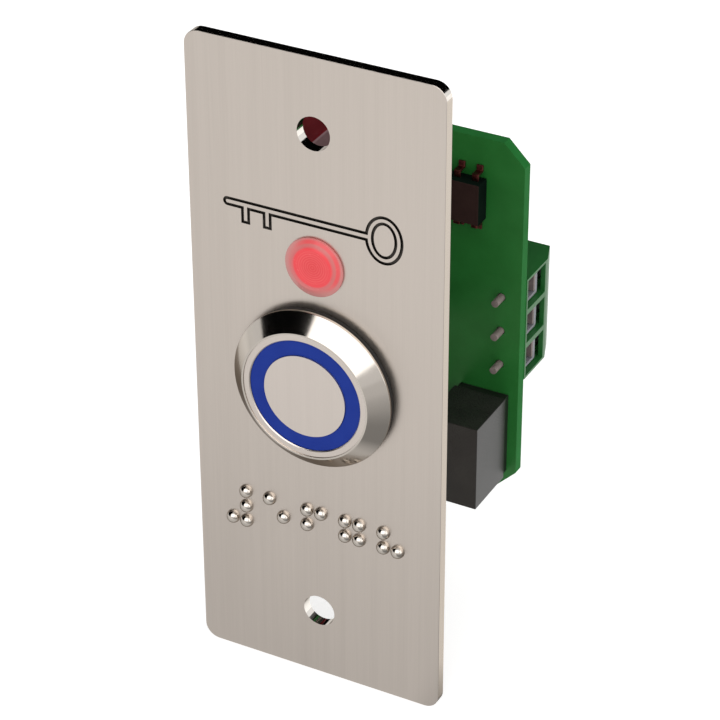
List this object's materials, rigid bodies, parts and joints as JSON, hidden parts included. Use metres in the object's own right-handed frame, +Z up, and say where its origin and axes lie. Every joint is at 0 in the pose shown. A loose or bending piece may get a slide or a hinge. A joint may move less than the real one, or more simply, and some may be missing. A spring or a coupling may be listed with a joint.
{
  "type": "door release push button plate",
  "caption": "Flush wall plate with a lit momentary push button, red indicator, key pictogram, raised dots and a rear circuit board with screw terminals.",
  "frame": {"origin": "middle of the two screw holes, on the plate's rear face", "axes": "+X right as the user sees it, +Y into the wall, +Z up"},
  "size_m": [0.035, 0.042, 0.09],
  "materials": {
    "brushed_steel": "vertical brushed grain",
    "polished_steel": "polished",
    "steel": "plain",
    "spring_steel": "bright",
    "zinc": "zinc plated",
    "rubber": "matt",
    "blue_diffuser": "satin",
    "red_lens": "translucent, satin",
    "red_lamp": "gloss",
    "black_plastic": "satin",
    "grey_black_plastic": "satin",
    "green_plastic": "satin",
    "board_green": "solder mask",
    "board_white": "satin",
    "lamp_white": "gloss",
    "tinned_copper": "tinned",
    "brass": "bright",
    "copper": "enamelled copper wire",
    "red_plastic": "gloss",
    "can_sleeve": "gloss",
    "ceramic_chip": "satin"
  },
  "bodies": {
    "plate_and_board": {"faceplate": "brushed_steel", "braille_beads": "polished_steel", "button_gasket": "rubber", "button_housing": "polished_steel", "lock_washer": "spring_steel", "lock_nut": "zinc", "return_spring": "spring_steel", "contact_block": "black_plastic", "contact_pins": "tinned_copper", "lamp_board": "board_white", "lamp_chips": "lamp_white", "lamp_leads": "tinned_copper", "lamp_pins": "tinned_copper", "indicator_lens": "red_lens", "indicator_clip": "spring_steel", "indicator_lamp": "red_lamp", "indicator_leads": "tinned_copper", "lamp_spacer": "black_plastic", "circuit_board": "board_green", "relay_base": "black_plastic", "relay_case": "grey_black_plastic", "relay_coil": "copper", "relay_core": "steel", "relay_yoke": "steel", "relay_pins": "tinned_copper", "optocoupler": "black_plastic", "optocoupler_leads": "copper", "film_capacitor": "red_plastic", "timing_capacitor": "red_plastic", "electrolytic_capacitor": "can_sleeve", "capacitor_leads": "tinned_copper", "chip_resistors": "ceramic_chip", "diode": "black_plastic", "terminal_housing": "green_plastic", "terminal_contacts": "tinned_copper"},
    "actuator": {"actuator_cap": "brushed_steel", "light_ring": "blue_diffuser", "stem_seal": "rubber", "retaining_ring": "spring_steel", "contact_bridge": "brass"},
    "relay_armature": {"relay_armature": "steel"},
    "terminal_screw_1": {"terminal_screw_1": "zinc"},
    "terminal_cage_1": {"terminal_cage_1": "zinc"},
    "terminal_screw_2": {"terminal_screw_2": "zinc"},
    "terminal_cage_2": {"terminal_cage_2": "zinc"},
    "terminal_screw_3": {"terminal_screw_3": "zinc"},
    "terminal_cage_3": {"terminal_cage_3": "zinc"}
  },
  "joints": [
    {"name": "button_press", "type": "slide", "parent": "plate_and_board", "child": "actuator", "axis": [0, 1, 0], "range_m": [0, 0.0015], "stiffness_N_per_m": 900, "springref_m": -0.002, "deforming": ["return_spring"]},
    {"name": "relay_pull", "type": "hinge", "parent": "plate_and_board", "child": "relay_armature", "pos_m": [0.01025, 0.0178, -0.01735], "axis": [1, 0, 0], "range_deg": [0, 5], "stiffness_Nm_per_rad": 0.002, "springref_deg": -8.59},
    {"name": "screw_turn_1", "type": "hinge", "parent": "plate_and_board", "child": "terminal_screw_1", "pos_m": [0.0123, 0.0349, 0.00166], "axis": [0, -1, 0], "range_deg": [0, 1500]},
    {"name": "cage_rise_1", "type": "slide", "parent": "plate_and_board", "child": "terminal_cage_1", "axis": [0, 1, 0], "range_m": [0, 0.00187]},
    {"name": "screw_turn_2", "type": "hinge", "parent": "plate_and_board", "child": "terminal_screw_2", "pos_m": [0.0123, 0.0349, -0.00342], "axis": [0, -1, 0], "range_deg": [0, 1500]},
    {"name": "cage_rise_2", "type": "slide", "parent": "plate_and_board", "child": "terminal_cage_2", "axis": [0, 1, 0], "range_m": [0, 0.00187]},
    {"name": "screw_turn_3", "type": "hinge", "parent": "plate_and_board", "child": "terminal_screw_3", "pos_m": [0.0123, 0.0349, -0.0085], "axis": [0, -1, 0], "range_deg": [0, 1500]},
    {"name": "cage_rise_3", "type": "slide", "parent": "plate_and_board", "child": "terminal_cage_3", "axis": [0, 1, 0], "range_m": [0, 0.00187]}
  ],
  "couplings": [
    {"joint": "screw_turn_1", "follows": "cage_rise_1", "rad_per_m": 13963},
    {"joint": "screw_turn_2", "follows": "cage_rise_2", "rad_per_m": 13963},
    {"joint": "screw_turn_3", "follows": "cage_rise_3", "rad_per_m": 13963}
  ]
}
